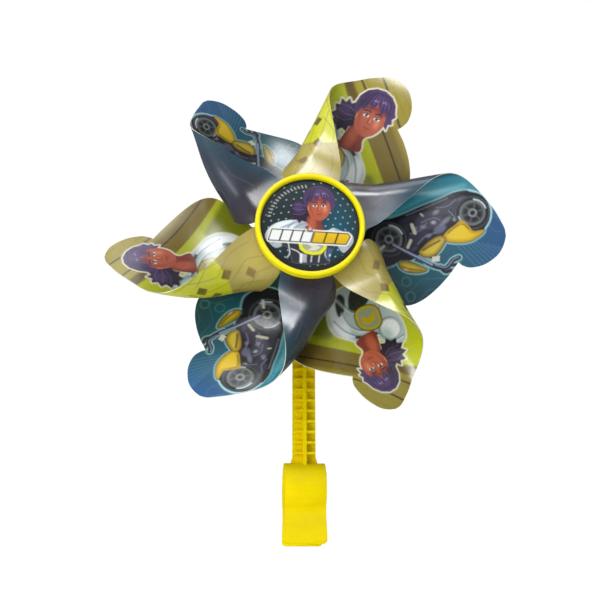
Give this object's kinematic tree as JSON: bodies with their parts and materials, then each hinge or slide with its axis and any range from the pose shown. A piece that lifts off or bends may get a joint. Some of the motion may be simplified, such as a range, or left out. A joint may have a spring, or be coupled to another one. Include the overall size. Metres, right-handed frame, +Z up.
{
  "type": "pinwheel",
  "caption": "Toy pinwheel for a bicycle handlebar: curled printed film vanes on a round hub, turning on a pin at the top of a ribbed stem with a push-on clip.",
  "frame": {"origin": "middle of the clip's bore, on the axis of the handlebar it grips", "axes": "+X along the handlebar, to the right seen from the front; +Z up the stem; -Y to the front, where the rotor is"},
  "size_m": [0.2204, 0.067, 0.2625],
  "materials": {
    "yellow_plastic": "glossy injection-moulded",
    "white_plastic": "satin",
    "steel": "drawn wire",
    "printed_label": "printed glossy film",
    "yellow_film": "printed glossy film",
    "blue_film": "printed glossy film"
  },
  "bodies": {
    "stand": {"handlebar_clip": "yellow_plastic", "stem": "yellow_plastic", "axle_pin": "steel", "axle_push_nut": "steel", "rear_washer": "white_plastic", "front_washer": "white_plastic"},
    "rotor": {"hub_sleeve": "yellow_plastic", "rear_hub_disc": "yellow_plastic", "rear_keeper_ring": "yellow_plastic", "front_hub_disc": "yellow_plastic", "hub_cap": "yellow_plastic", "cap_label": "printed_label", "vane_1": "yellow_film", "vane_2": "blue_film", "vane_3": "yellow_film", "vane_4": "blue_film", "vane_5": "yellow_film", "vane_6": "blue_film"}
  },
  "joints": [
    {"name": "rotor_spin", "type": "hinge", "parent": "stand", "child": "rotor", "pos_m": [0, 0, 0.136], "axis": [0, -1, 0], "continuous": true}
  ]
}
